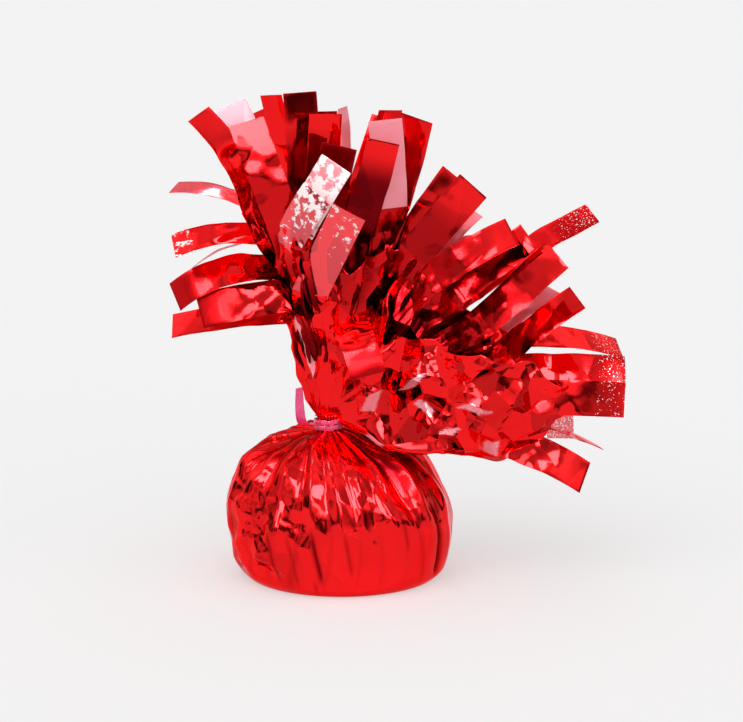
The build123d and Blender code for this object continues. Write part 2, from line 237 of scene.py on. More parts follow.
def redFoil(name, facets, ripple):
    # each facet is a cell that leans its own way, and ripples lean it smoothly: the normal plus the random
    # vector of cell or ripple, which runs from -0.5 to 0.5, times that size's lean and the film's crumple
    material, shader = newMaterial(name, Coat_Roughness=foil["lacquerRoughness"],
                                   Coat_IOR=foil["lacquerIndex"], Specular_Tint=foil["edgeTint"])
    links = material.node_tree.links
    marks = ("worn", "glitter", "pale", "shade", "crumple")
    worn, glitter, pale, shade, crumple = (readMark(material, mark) for mark in marks)
    place = addNode(material, "ShaderNodeTexCoord").outputs["Object"]
    stretch = {"Vector": place, "Rotation": foil["shardTurn"], "Scale": foil["shardShape"]}
    shard = addNode(material, "ShaderNodeMapping", stretch).outputs["Vector"]

    flake = pair(material, "ADD", objectNoise(material, foil["flakeScale"], detail=4, roughness=0.65), worn)
    speck = pair(material, "ADD", objectNoise(material, foil["glitterScale"], detail=1), glitter)
    rubbed = pair(material, "MAXIMUM", spread(material, flake, foil["flakeEdge"]),
                  spread(material, speck, foil["glitterEdge"], (0, foil["glitterWhite"])))
    matt = pair(material, "MAXIMUM", rubbed, pale)
    # roughness rises and the lacquer thins with the painted shade, so bright boxes do not turn it grey
    blurred = pair(material, "MAXIMUM", matt, pair(material, "MULTIPLY", shade, foil["shadeBlur"]))

    inputs = {"Vector": shard, "Scale": facets[0][0]}
    cell = addNode(material, "ShaderNodeTexVoronoi", inputs).outputs["Color"]
    deeper = pair(material, "MULTIPLY", spread(material, cell, foil["facetEdge"]), crumple)
    cloud = spread(material, objectNoise(material, foil["cloudScale"], detail=2), foil["cloudEdge"])
    tone = mixColour(material, cloud, foil["red"], foil["deep"])
    # each facet gets a tone at random, then the shade mark paints shade in deep red, the pale mark paints a
    # pale highlight, and rubbed places turn white
    for share, colour in ((deeper, "facet"), (shade, "paintedShade"), (pale, "pale"), (rubbed, "flake")):
        tone = mixColour(material, share, tone, foil[colour])
    links.new(tone, shader.inputs["Base Color"])
    links.new(spread(material, blurred, (0, 1), foil["roughness"]), shader.inputs["Roughness"])
    links.new(spread(material, matt, (0, 1), foil["metal"]), shader.inputs["Metallic"])
    links.new(spread(material, shade, (0, 1), foil["lacquer"]), shader.inputs["Coat Weight"])

    normal = addNode(material, "ShaderNodeNewGeometry").outputs["Normal"]
    for kind, scale, lean in [("Voronoi", *facet) for facet in facets] + [("Noise", *ripple)]:
        cell = addNode(material, "ShaderNodeTex" + kind, {"Vector": shard, "Scale": scale}).outputs["Color"]
        tilt = vectorMath(material, "SUBTRACT", {0: cell, 1: (0.5, 0.5, 0.5)})
        tilt = vectorMath(material, "SCALE", {0: tilt, "Scale": pair(material, "MULTIPLY", crumple, lean)})
        normal = vectorMath(material, "ADD", {0: normal, 1: tilt})
    normal = vectorMath(material, "NORMALIZE", {0: normal})
    for socket in ("Normal", "Coat Normal"):
        links.new(normal, shader.inputs[socket])
    return material


# Each foil's facets and its ripple as (scale, lean)
film = redFoil("redFoil", [(70, 0.12), (190, 0.04)], (45, 0.45))
crumpledFilm = redFoil("crumpledFoil", [(120, 0.95), (260, 0.2)], (60, 0.15))
pouchFoil = redFoil("pouchFoil", [(110, 0.5), (300, 0.1)], (70, 0.2))

# Finishes of the tie, and of the solids inside, which keep the frame's shapes
grainEdge = (0.3, 0.7)  # the span of noise that shows as grain
tieFinish = dict(light=(0.98, 0.11, 0.32, 1), dark=(0.62, 0.02, 0.12, 1), grain=700, roughness=(0.2, 0.38),
                 relief=0.1, metal=0.25, coat=0.5, coatRoughness=0.1)
hiddenFinishes = {
    "weight_cup": dict(name="whitePlastic", light=(0.78, 0.78, 0.76, 1), dark=(0.70, 0.70, 0.68, 1),
                       grain=90, roughness=(0.35, 0.5), relief=0.03),
    "cement_fill": dict(name="castCement", light=(0.42, 0.41, 0.39, 1), dark=(0.30, 0.29, 0.28, 1),
                        grain=240, roughness=(0.8, 0.95), relief=0.3),
    "tie_wire": dict(name="tieSteel", light=(0.55, 0.55, 0.56, 1), dark=(0.42, 0.42, 0.43, 1),
                     grain=900, roughness=(0.25, 0.4), relief=0.02, metal=1.0),
}


def pinkTie(f):
    # twist tie: satin pink film, finely mottled
    material, shader = newMaterial("pinkTie", Metallic=f["metal"], Coat_Weight=f["coat"],
                                   Coat_Roughness=f["coatRoughness"])
    links = material.node_tree.links
    grain = objectNoise(material, f["grain"], detail=3)
    links.new(mixColour(material, grain, f["light"], f["dark"]), shader.inputs["Base Color"])
    links.new(spread(material, grain, grainEdge, f["roughness"]), shader.inputs["Roughness"])
    reliefFrom(material, shader, grain, f["relief"])
    return material


def plainFinish(name, light, dark, grain, roughness, relief, metal=0.0):
    # two near colours in soft blotches, roughness that follows them, and fine relief
    material, shader = newMaterial(name, Metallic=metal)
    links = material.node_tree.links
    noise = objectNoise(material, grain, detail=5, roughness=0.6)
    tone = mixColour(material, spread(material, noise, grainEdge), light, dark)
    links.new(tone, shader.inputs["Base Color"])
    links.new(spread(material, noise, grainEdge, roughness), shader.inputs["Roughness"])
    reliefFrom(material, shader, noise, relief)
    return material


tieFilm = pinkTie(tieFinish)
for node, finish in hiddenFinishes.items():
    materials = frame["nodes"][node].data.materials
    materials.clear()
    materials.append(plainFinish(**finish))
print("materials made")


# Pouch: the profile of the pleats' ridges is turned about the leaning axis. The main pleats are those of the
# solid: a star of ridges and valleys, straight between them, whose spacing and depth waver. Fine pleats,
# creases and a few single folds break them up. A fade is the height where it begins and how far it reaches
pouch = dict(
    profile=[  # radius and height
        (0.4, 0), (14, 0.02), (26.6, 0.05), (28.6, 0.9), (30.0, 2.6), (31.8, 8), (32.9, 15), (32.4, 21.5),
        (29.8, 28), (26.4, 33.5), (21.6, 37.5), (15.4, 40.0), (9.6, 41.2), (4.9, 42.0), (3.4, 43.4),
        (3.3, 46.8),
    ],
    around=380, along=129, thick=0.1, lean=-3.7, leanHeight=41.8, flat=(0.12, 0.11),
    pleats=20, pleatSpread=0.09, pleatSpreadStart=1.2, pleatMean=0.75, pleatWaver=0.25, pleatWaverPhase=2.4,
    pleatLevel=0.85, pleatSwell=0.3,
    valleyHeights=[2.5, 8, 15, 21.5, 28, 33.5, 37.5, 40, 41.2, 41.8],
    valleys=[0.0, 0.01, 0.015, 0.03, 0.06, 0.09, 0.12, 0.14, 0.15, 0.1],  # depth as a share of the radius
    finePleats=27, fineSeed=5, fineSweep=0.1,
    fineHeights=[0, 6, 12, 18, 24, 30, 36, 40, 43.5, 47],
    fineDepths=[0, 0.05, 0.12, 0.24, 0.36, 0.44, 0.42, 0.32, 0.2, 0.2],
    baseFade=(1, 6), tieFade=(40, 4),  # creases keep clear of the base and of the tie
    broadCreases=(3, 6, (10, 26), 0.085),  # seed, how many, spacing and slope
    broadShare=(0.2, 1), broadFade=(10, 12),
    rumples=(8, 7, (6, 14), 0.3), rumpleAt=(-24, -20, 12), rumpleReach=15,  # crumpled patch, front left
    folds=[  # bearing, bottom, top, depth, breadth of its line of painted shade
        (-27, 1, 28, 1.0, 1.4), (-100, 3, 22, 1.0, 0.7), (-113, 2, 20, 0.3, 0.4), (-84, 6, 22, 0.3, 0.45),
        (-124, 3, 22, 0.4, 0.6), (-54, 12, 26, 0.3, 0.5), (-103, 0, 7, 0.4, 0.6), (40, 2, 24, 0.5, 0.7),
        (95, 3, 22, 0.45, 0.7), (160, 2, 25, 0.5, 0.7),
    ],
    foldReach=1.4, foldLean=0.004, foldBegin=4, foldEnd=6,
    crumple=0.08, crumpleAbove=0.2, crumpleFade=(14, 8), neckCalm=0.6, neckFade=(34, 6), patchCrumple=0.6,
    shadowAt=-38, shadowReach=32, shadowFade=(26, 8),  # painted shadow under the side plume
    neckShadow=0.8, neckShadowFade=(33, 6), fineShadow=0.7, shadowEdge=0.5, darkest=0.95,
    streak=0.2, streakEdge=1.3, streakFrom=(1, 4), streakTo=(16, 8),  # painted shade in the fine pleats of the lower wall
)


def pouchSurface(p):
    # angle by place along the profile: the radius times 1 less valley depth times fold, lifted square to the
    # profile by fine pleats, creases and folds; the axis leans by the square of the height
    line = smoothLine(p["profile"], p["along"])
    radius, height = line[:, :1], line[:, 1:]
    slope = unit(np.gradient(line, axis=0))
    outward, upward = slope[:, 1:], -slope[:, :1]
    turn = np.linspace(0, 2 * np.pi, p["around"], endpoint=False)[None]

    step = np.arange(2 * p["pleats"])
    even = np.pi * step / p["pleats"]
    bearing = even + p["pleatSpread"] * np.sin(3 * even + p["pleatSpreadStart"])
    drawn = step % 2 * (p["pleatMean"] + p["pleatWaver"] * np.sin(p["pleatWaverPhase"] * step))
    fold = np.interp(turn, bearing, drawn, period=2 * np.pi)
    fold = fold * (p["pleatLevel"] + p["pleatSwell"] * np.sin(4 * turn + height / 7))
    wide = radius * (1 - np.interp(height, p["valleyHeights"], p["valleys"]) * fold)
    shell = np.stack([wide * np.cos(turn), wide * np.sin(turn), height + 0 * turn], -1)

    swept = turn + p["fineSweep"] * np.sin(2 * turn + height / 13)
    fine = unevenPleats(swept, p["finePleats"], p["fineSeed"])
    rumpled = np.exp(-(np.linalg.norm(shell - np.array(p["rumpleAt"]), axis=-1) / p["rumpleReach"]) ** 2)
    free = ramp(height, *p["baseFade"]) * (1 - ramp(height, *p["tieFade"]))
    lift = np.interp(height, p["fineHeights"], p["fineDepths"]) * fine
    share = between(p["broadShare"], ramp(height, *p["broadFade"]))
    lift = lift + free * share * creases(shell, *p["broadCreases"])
    lift = lift + free * rumpled * creases(shell, *p["rumples"])
    # dark: a line of painted shade along each fold
    dark = 0 * rumpled
    for foldBearing, bottom, top, depth, breadth in p["folds"]:
        leaning = turn + p["foldLean"] * (height - bottom)
        aside = radius * np.radians(np.abs(offBearing(leaning, foldBearing)))
        span = ramp(height, bottom, p["foldBegin"]) * ease((top - height) / p["foldEnd"])
        lift = lift - depth * np.exp(-aside / p["foldReach"]) * span
        dark = np.maximum(dark, depth ** 0.5 * np.exp(-(aside / breadth) ** 2) * span)
    lift = lift * ease(height / 2 + 0.02)  # the base stays flat

    calm = 1 - p["neckCalm"] * ramp(height, *p["neckFade"])
    crumple = p["crumple"] + p["crumpleAbove"] * ramp(height, *p["crumpleFade"]) * calm
    crumple = crumple + p["patchCrumple"] * rumpled
    # painted shade: a shadow under the side plume and below the tie, kept to the pleats' valleys, the dark
    # fold lines, and soft streaks in the lower wall's fine pleats
    under = bell(turn, p["shadowAt"], p["shadowReach"]) * ramp(height, *p["shadowFade"])
    under = under + p["neckShadow"] * ramp(height, *p["neckShadowFade"])
    valley = ease(np.maximum(fold, -p["fineShadow"] * fine) / p["shadowEdge"])
    shade = p["darkest"] * np.maximum(np.minimum(1, under) * valley, dark)
    lowWall = ramp(height, *p["streakFrom"]) * (1 - ramp(height, *p["streakTo"]))
    streak = p["streak"] * ease(-p["streakEdge"] * fine) * lowWall

    wide, tall = wide + lift * outward, height + lift * upward
    lean = p["lean"] * np.minimum(1, height / p["leanHeight"]) ** 2
    grid = np.stack([wide * np.cos(turn) + lean, wide * np.sin(turn), np.maximum(tall, 0)], -1)
    return grid, {"crumple": crumple, "shade": np.maximum(shade, streak)}


pouchGrid, pouchMarks = pouchSurface(pouch)
pouchFilm = filmObject("pouch_film", [(pouchGrid, True, False)], pouchFoil, pouch["thick"], pouchMarks)
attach(pouchFilm, "weight_base")
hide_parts("foil_pouch")
print("pouch film:", len(pouchFilm.data.polygons), "faces")


# Fringe strips: each one is read from its solid, then gets its own curl, twist and creases. Creases are
# given as how many, their spacing and their slope
fringe = dict(
    width=10.0, widthError=0.01, endReach=0.6, thick=0.1, rows=30, columns=9, rootDepth=1.2,
    seed=500, twist=9, curl=1.2, cup=0.15,
    longSeed=100, longCreases=(3, (12, 30), 0.025), rootSeed=200, rootCreases=(4, (6, 14), 0.1),
    twistRate=1.5, looseRate=4, cupLevel=0.4, cupShare=(0.4, 1),
    farFade=(0.35, 0.5), crumple=(0.9, 0.45),  # near its root and at its tip
    viewer=(0, -0.978, 0.208),  # the way that every strip's face looks: towards the camera
)
# How worn the near and far ends are and how much painted shade they carry, how much pale painted highlight,
# glitter or roughness the strip has, and its own twist, curl and extra length
stripLooks = {
    "upright_fringe_02": dict(twist=-14, shade=(0.1, 0.35)),
    "upright_fringe_03": dict(shade=(0.0, 0.4)),
    "upright_fringe_04": dict(worn=(0.0, 0.45)),
    "upright_fringe_05": dict(pale=0.85),
    "upright_fringe_06": dict(pale=0.35),
    "upright_fringe_08": dict(pale=0.8, twist=4),
    "upright_fringe_09": dict(rough=2.0, shade=(0.35, 0.0)),
    "upright_fringe_11": dict(shade=(0.5, 0.1)),
    "upright_fringe_12": dict(shade=(0.8, 0.6)),
    "upright_fringe_14": dict(pale=0.9),
    "upright_fringe_15": dict(worn=(0.62, 0.52), pale=0.8),
    "upright_fringe_16": dict(worn=(0.40, 0.54), pale=0.25),
    "upright_fringe_17": dict(worn=(0.36, 0.44), pale=0.2),
    "upright_fringe_18": dict(shade=(0.0, 0.6)),
    "upright_fringe_19": dict(shade=(0.9, 0.35)),
    "upright_fringe_20": dict(pale=0.8, twist=3, shade=(0.5, 0.0)),
    "upright_fringe_21": dict(shade=(0.45, 0.15)),
    "upright_fringe_22": dict(shade=(0.9, 0.0)),
    "upright_fringe_23": dict(shade=(0.9, 0.75)),
    "side_fringe_01": dict(shade=(0.35, 0.0)),
    "side_fringe_02": dict(shade=(0.5, 0.0)),
    "side_fringe_03": dict(pale=0.6),
    "side_fringe_04": dict(shade=(0.4, 0.0)),
    "side_fringe_05": dict(shade=(0.5, 0.0)),
    "side_fringe_06": dict(shade=(0.45, 0.0)),
    "side_fringe_07": dict(glitter=0.36, shade=(0.5, 0.5)),
    "side_fringe_08": dict(shade=(0.45, 0.0)),
    "side_fringe_09": dict(pale=0.6),
    "side_fringe_10": dict(glitter=0.37),
    "side_fringe_11": dict(glitter=0.36, shade=(0.0, 0.3)),
    "side_fringe_12": dict(glitter=0.35, shade=(0.0, 0.3)),
    "side_fringe_13": dict(glitter=0.44, pale=0.35, twist=78, curl=5, longer=9),
}


def nodePoints(node):
    # a solid's points and the pairs of them that its edges join
    mesh = frame["nodes"][node].data
    points = np.zeros(3 * len(mesh.vertices))
    mesh.vertices.foreach_get("co", points)
    ends = np.zeros(2 * len(mesh.edges), int)
    mesh.edges.foreach_get("vertices", ends)
    return points.reshape(-1, 3) / mm, ends.reshape(-1, 2)


def readStrip(node, plumeTree):
    # width axis: the direction shared by the edges that are one strip width long; ends: the two points of
    # the flattened band that lie farthest apart, the root being the one nearer to the plume; bow: how far
    # the band leaves the straight line between them
    points, ends = nodePoints(node)
    edges = points[ends[:, 1]] - points[ends[:, 0]]
    across = edges[np.abs(np.linalg.norm(edges, axis=1) - fringe["width"]) < fringe["widthError"]]
    axis = np.linalg.eigh(across.T @ across)[1][:, -1]
    level = points @ axis
    flat = points + np.outer((level.max() + level.min()) / 2 - level, axis)
    tips = [flat[np.argmax(np.linalg.norm(flat - flat.mean(0), axis=1))]]
    tips.append(flat[np.argmax(np.linalg.norm(flat - tips[0], axis=1))])
    tips = [flat[np.linalg.norm(flat - tip, axis=1) < fringe["endReach"]].mean(0) for tip in tips]
    root, tip = sorted(tips, key=lambda end: plumeTree.find_nearest(end * mm)[3])
    length = np.linalg.norm(tip - root)
    along = (tip - root) / length
    face = np.cross(axis, along)
    face = face if face @ np.array(fringe["viewer"]) > 0 else -face
    rise = (flat - root) @ face
    return dict(root=root, along=along, face=face, side=np.cross(face, along), length=length,
                bow=rise.max() + rise.min())


def stripSurface(strip, number, twist=None, curl=None, longer=0, rough=1, worn=(0, 0), shade=(0, 0), pale=0,
                 glitter=0):
    # middle line: root + length t along + (4 bow t (1 - t) + curl t cubed) face; the width axis turns about
    # it by an eased twist, the band is cupped by the square of the place across it, and creases lift it
    chance = np.random.default_rng(fringe["seed"] + number).uniform(-1, 1, 3)
    twist = chance[0] * fringe["twist"] if twist is None else twist
    curl = chance[1] * fringe["curl"] if curl is None else curl
    t = np.linspace(0, 1, fringe["rows"])[:, None, None]
    a = np.linspace(-1, 1, fringe["columns"])[None, :, None]
    reach = (strip["length"] + longer) * t - fringe["rootDepth"] * (1 - t) ** 8
    rise = 4 * strip["bow"] * t * (1 - t) + curl * t ** 3
    pitch = (4 * strip["bow"] * (1 - 2 * t) + 3 * curl * t * t) / strip["length"]
    normal = unit(strip["face"] - pitch * strip["along"])
    angle = math.radians(twist) * ease(fringe["twistRate"] * t)
    side = strip["side"] * np.cos(angle) + normal * np.sin(angle)
    normal = normal * np.cos(angle) - strip["side"] * np.sin(angle)
    band = strip["root"] + reach * strip["along"] + rise * strip["face"] + fringe["width"] / 2 * a * side
    far = (ramp(t, *fringe["farFade"]) + 0 * a)[..., 0]
    loose = ease(fringe["looseRate"] * t)[..., 0]
    cupped = (a * a - fringe["cupLevel"]) * between(fringe["cupShare"], t)
    lift = chance[2] * fringe["cup"] * cupped[..., 0]
    lift = lift + loose * creases(band, fringe["longSeed"] + number, *fringe["longCreases"])
    rumples = rough * creases(band, fringe["rootSeed"] + number, *fringe["rootCreases"])
    lift = lift + loose * (1 - far) * rumples
    # marks: wear, painted shade from the near end to the far end, glitter, the pale painted highlight and
    # crumple
    marks = {"worn": between(worn, far), "shade": between(shade, far), "glitter": glitter * far,
             "pale": pale + 0 * far, "crumple": rough * between(fringe["crumple"], far)}
    return band + lift[..., None] * normal, marks


# Plumes: a pleated funnel of film from the neck, and tongues of film that run from inside it out to the root
# of each strip. The rings give a funnel's half sizes at each distance along its axis, and how much further
# it reaches against its wide direction (sag) and along it (side)
uprightPlume = dict(
    name="upright", foot=(-4.2, 0, 46.0), axis=(0, 0, 1), wide=(1, 0, 0), flat=(0.15, 0.09),
    along=[0, 2, 5, 10, 22, 36, 50, 62],
    halfWidth=[3.1, 4.8, 7.0, 8.6, 11.0, 15.0, 18.8, 21.9],
    halfDepth=[3.1, 4.2, 4.8, 5.4, 7.2, 10.4, 13.4, 16.0],
    sag=[0, 0, 0, 0, 0, 0, 0, 0],
    side=[0, 0.05, 0.1, 0.25, 0.44, 0.46, 0.3, 0.14],
    share=0.95, rim=52, rimWaver=4.5, rimBumps=[(270, 50, -6)],  # bearing, breadth, how much it adds
    pleats=15, pleatDepth=0.27, calm=0.0, drape=(0, 0, 0), crumple=0.9, flare=1.0,
    seed=20, ridges=(8, (6, 20), 0.15),  # how many creases, their spacing and slope
    dark=(316, 30, 26, 0.75),  # painted shade: bearing, breadth, where it begins along the axis, how dark
    # pale facets of painted highlight: bearing, place along the axis, half breadth, half length, lean, how
    # pale
    shards=[(225, 23, 18, 12, 0.5, 0.85), (230, 37, 10, 6, 0.5, 0.7)],
)
sidePlume = dict(
    name="side", foot=(-3.7, 0, 47.2), axis=(0.8675, -0.1297, 0.4802), wide=(-0.4843, 0, 0.8749),
    flat=(0.14, 0.09),
    along=[0, 4, 12, 24, 36, 44, 52, 57],
    halfWidth=[2.4, 5.2, 8.4, 16.5, 26.0, 32.0, 30.0, 26.0],
    halfDepth=[2.0, 3.4, 5.2, 9.6, 13.2, 15.0, 14.0, 12.0],
    sag=[0, 0.4, 0.6, 0.75, 0.46, 0.22, 0.28, 0.34],
    side=[0, 0.05, 0.1, 0.1, 0.08, 0, 0, 0],
    share=0.96, rim=49, rimWaver=3.5, rimBumps=[(150, 40, 17), (42, 34, -22)],
    pleats=15, pleatDepth=0.30, calm=0.85, drape=(0, -12, -4), crumple=1.5, flare=1.2,
    seed=40, ridges=(7, (7, 20), 0.15),
    dark=(270, 60, 30, 0.8),
    shards=[
        (94, 28, 4, 5.5, 0.9, 0.9), (119, 27, 8, 2.2, -0.6, 1.0), (137, 30, 3, 3.6, 0.3, 0.8),
        (148, 38, 5, 3.2, 0.4, 0.85), (97, 14, 11, 4.5, 0.8, 0.6), (151, 10, 9, 3.0, 0.5, 1.0),
        (122, 40, 3, 5.0, -0.8, 0.7),
    ],
)
funnel = dict(
    around=300, along=110, pleatSweep=0.03, shardEdge=9,
    drapeBearing=158, drapeBreadth=38, drapeMiddle=15, drapeReach=9,
    insideDark=0.8, insideFrom=22, insideReach=14,
    neckCrumple=0.12, crumpleFrom=8, crumpleReach=18,
    pleatFade=(-9, 30), calmFade=(-0.2, 0.9), creaseFade=(0, 14), flareFade=(0.75, 0.25), darkReach=10,
)
tongue = dict(
    rows=34, columns=13, begin=0.45, inside=0.72, arriveSpeed=0.8, arriveTurn=0.7, footWidth=5.0,
    folds=2.5, foldDepth=0.7, foldShift=0.17, seed=300, creases=(5, (6, 15), 0.15), dark=0.9,
    endFade=(0.75, 0.25), endCrumple=0.2, shadeFade=(0.3, 0.55), widen=0.75, flatten=0.8,
    foldRate=6, creaseRate=3,
)


def plumeAxes(p):
    # foot, axis, and the two directions square to it: the wide one and the deep one
    axis = unit(np.array(p["axis"], float))
    wide = np.array(p["wide"], float)
    wide = unit(wide - (wide @ axis) * axis)
    return np.array(p["foot"], float), axis, wide, np.cross(axis, wide)


def funnelSurface(p):
    # angle round the axis by distance along it: an ellipse whose half sizes follow the rings, drawn in by a
    # star of the angle for the pleats and broken by creases; calm damps the pleats on the front, and drape
    # is the step that its lower front takes near the neck; a shard, a patch of pale painted highlight, is a
    # diamond, where the distances aside and above, each over its half size, add up to less than 1
    foot, axis, wide, deep = plumeAxes(p)
    turn = np.linspace(0, 2 * np.pi, funnel["around"], endpoint=False)[None]
    s = np.linspace(0, 1, funnel["along"])[:, None]
    lap = turn / (2 * np.pi)
    ragged = 0.5 * np.sin(3 * turn + 1) + 0.45 * zigzag(7 * lap + 0.3) + 0.35 * zigzag(17 * lap)
    rim = p["rim"] + p["rimWaver"] * ragged
    for bearing, breadth, extra in p["rimBumps"]:
        rim = rim + extra * bell(turn, bearing, breadth)
    along = s * rim
    sizes = ("halfWidth", "halfDepth", "sag", "side")
    ring = {size: np.interp(along, p["along"], p[size]) for size in sizes}

    front = -deep[1] * np.sin(turn)
    fold = unevenPleats(turn + funnel["pleatSweep"] * np.sin(along / 8 + 2 * turn), p["pleats"], p["seed"])
    calm = 1 - p["calm"] * ramp(front, *funnel["calmFade"])
    drawn = p["pleatDepth"] * ramp(along, *funnel["pleatFade"]) * calm * (fold + 1) / 2
    size = p["share"] * (1 - drawn)
    lower, upper = np.maximum(-np.cos(turn), 0) ** 2, np.maximum(np.cos(turn), 0) ** 2
    reachWide = ring["halfWidth"] * size * (1 + ring["sag"] * lower + ring["side"] * upper) * np.cos(turn)
    reachDeep = ring["halfDepth"] * size * np.sin(turn)
    radial = reachWide[..., None] * wide + reachDeep[..., None] * deep
    drape = np.exp(-((along - funnel["drapeMiddle"]) / funnel["drapeReach"]) ** 2)
    drape = drape * bell(turn, funnel["drapeBearing"], funnel["drapeBreadth"])
    points = foot + along[..., None] * axis + radial + drape[..., None] * np.array(p["drape"])
    lift = creases(points, p["seed"], *p["ridges"]) * ramp(along, *funnel["creaseFade"])
    ruffle = zigzag(9 * lap + 0.2 * np.sin(along / 5)) + 0.5 * zigzag(23 * lap)
    lift = lift + p["flare"] * ramp(s, *funnel["flareFade"]) * ruffle

    # painted shade: a dark patch from its bearing and start, deeper in the pleats, and the funnel's inside
    # away from the front
    bearing, breadth, begin, depth = p["dark"]
    shade = depth * bell(turn, bearing, breadth) * ramp(along, begin, funnel["darkReach"])
    shade = shade * (0.5 + 0.5 * ease(fold + 0.6))
    inside = ramp(along, funnel["insideFrom"], funnel["insideReach"]) * ease(0.3 - 1.5 * front)
    shade = np.maximum(shade, funnel["insideDark"] * inside)
    grown = ramp(along, funnel["crumpleFrom"], funnel["crumpleReach"])
    crumple = p["crumple"] * between((funnel["neckCrumple"], 1), grown)
    # pale painted highlights: pink shards where facets would mirror the soft boxes
    pale = 0 * shade
    for bearing, middle, breadth, reach, lean, depth in p["shards"]:
        above = (along - middle) / reach
        aside = offBearing(turn, bearing) / breadth + lean * above
        pale = np.maximum(pale, depth * ease(funnel["shardEdge"] * (1 - np.abs(aside) - np.abs(above))))
    return points + lift[..., None] * unit(radial), {"shade": shade, "crumple": crumple, "pale": pale}


def tongueSurface(p, strip, number, nearShade):
    # Hermite curve from inside the funnel to the strip's root: it starts straight for the root and arrives
    # turned towards the strip's direction; its width grows to the strip's, its folds flatten out and its
    # painted shade fades from dark to the strip's
    foot, axis, wide, deep = plumeAxes(p)
    root = strip["root"]
    height = (root - foot) @ axis
    radial = root - foot - height * axis
    levels = [tongue["begin"] * height, height]
    width, depth = (np.interp(levels, p["along"], p[size]) for size in ("halfWidth", "halfDepth"))
    across, inward = (radial @ wide) / width[1], (radial @ deep) / depth[1]
    start = foot + tongue["begin"] * height * axis
    start = start + tongue["inside"] * (width[0] * across * wide + depth[0] * inward * deep)
    radial = unit(radial + 1e-6 * wide)
    span = np.linalg.norm(root - start)
    straight = unit(root - start)
    leave = span * straight
    arrive = span * tongue["arriveSpeed"] * unit(strip["along"] + tongue["arriveTurn"] * straight)

    t = np.linspace(0, 1, tongue["rows"])[:, None, None]
    a = np.linspace(-1, 1, tongue["columns"])[None, :, None]
    h = ease(t)
    line = start * (1 - h) + root * h + leave * t * (1 - t) ** 2 - arrive * t * t * (1 - t)
    heading = unit(np.gradient(line[:, 0], axis=0))[:, None]
    first = np.cross(axis, radial)
    first = first if first @ strip["side"] > 0 else -first
    side = first * (1 - h) + strip["side"] * h
    side = unit(side - (side * heading).sum(-1, keepdims=True) * heading)
    normal = np.cross(heading, side)
    half = tongue["footWidth"] / 2 + (fringe["width"] - tongue["footWidth"]) / 2 * t ** tongue["widen"]
    band = line + half * a * side

    fold = zigzag(tongue["folds"] * a / 2 + tongue["foldShift"] * number)
    nearEnd = ramp(t, *tongue["endFade"])
    folded = ease(tongue["foldRate"] * t) * (1 - t) ** tongue["flatten"] * fold
    lift = tongue["foldDepth"] * folded[..., 0]
    loose = (ease(tongue["creaseRate"] * t) * (1 - nearEnd))[..., 0]
    lift = lift + loose * creases(band, tongue["seed"] + number, *tongue["creases"])
    # painted shade: dark deep inside the plume, fading to the strip's own near shade
    shade = between((tongue["dark"], nearShade), ramp(t, *tongue["shadeFade"]))[..., 0] + 0 * lift
    crumple = p["crumple"] * between((1, tongue["endCrumple"]), nearEnd)[..., 0] + 0 * lift
    return band + lift[..., None] * normal, {"shade": shade, "crumple": crumple, "pale": 0 * lift}


def makePlume(p):
    # the strips of one plume, each on the body of its solid, and the film that carries them
    node = f"{p['name']}_plume"
    tree = BVHTree.FromObject(frame["nodes"][node], bpy.context.evaluated_depsgraph_get())
    stripNodes = sorted(n for n in frame["nodes"] if n.startswith(f"{p['name']}_fringe"))
    layers = [funnelSurface(p)]
    for number, stripNode in enumerate(stripNodes):
        strip = readStrip(stripNode, tree)
        looks = stripLooks.get(stripNode, {})
        layers.append(tongueSurface(p, strip, number, looks.get("shade", (0, 0))[0]))
        grid, marks = stripSurface(strip, number, **looks)
        stripName = stripNode.replace("fringe", "strip")
        piece = filmObject(stripName, [(grid, False, False)], film, fringe["thick"], marks)
        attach(piece, bodyOf[stripNode])
        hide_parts(stripNode)
    sheets = [(grid, index == 0, False) for index, (grid, levels) in enumerate(layers)]
    marks = {mark: np.concatenate([levels[mark].ravel() for grid, levels in layers])
             for mark in ("shade", "crumple", "pale")}
    piece = filmObject(f"{p['name']}_film", sheets, crumpledFilm, fringe["thick"], marks)
    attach(piece, bodyOf[node])
    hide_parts(node)


makePlume(uprightPlume)
makePlume(sidePlume)


# Twist tie: a flat ribbed band carried round the neck, and its two ends twisted together beside it
tie = dict(
    centre=(-3.7, 0), radius=4.05, bottom=42.74, pitch=1.56, turns=2, start=150, steps=260, sides=20,
    tall=1.45, thick=0.95, rib=0.18, sway=0.03, wave=0.12, ruffle=0.13,
    endRoute=[(-7.82, -3.10, 44.3), (-10.42, -5.30, 44.6), (-11.62, -6.70, 46.5), (-12.02, -7.40, 50.5),
              (-12.12, -7.70, 55.9)],
    endSteps=70, endSides=18, endWidth=3.3, endTipWidth=2.2, endThick=0.8, endRib=0.25, endTwist=80,
    endFacing=(0.7, -0.7, 0), corner=0.6,
)


def carried(line, side, up, width, height, count, rib):
    # profile carried along a path: a rounded rectangle (cosine and sine, each to the power of corner) with a
    # rib down its middle, scaled by the width and height at each step of the path
    turn = np.linspace(0, 2 * np.pi, count, endpoint=False)[None, :, None]
    x = np.sign(np.cos(turn)) * np.abs(np.cos(turn)) ** tie["corner"]
    ribbed = 1 - rib + rib * np.cos(2 * np.pi * x)
    y = np.sign(np.sin(turn)) * np.abs(np.sin(turn)) ** tie["corner"] * ribbed
    return line[:, None] + (width / 2 * x) * side[:, None] + (height / 2 * y) * up[:, None]


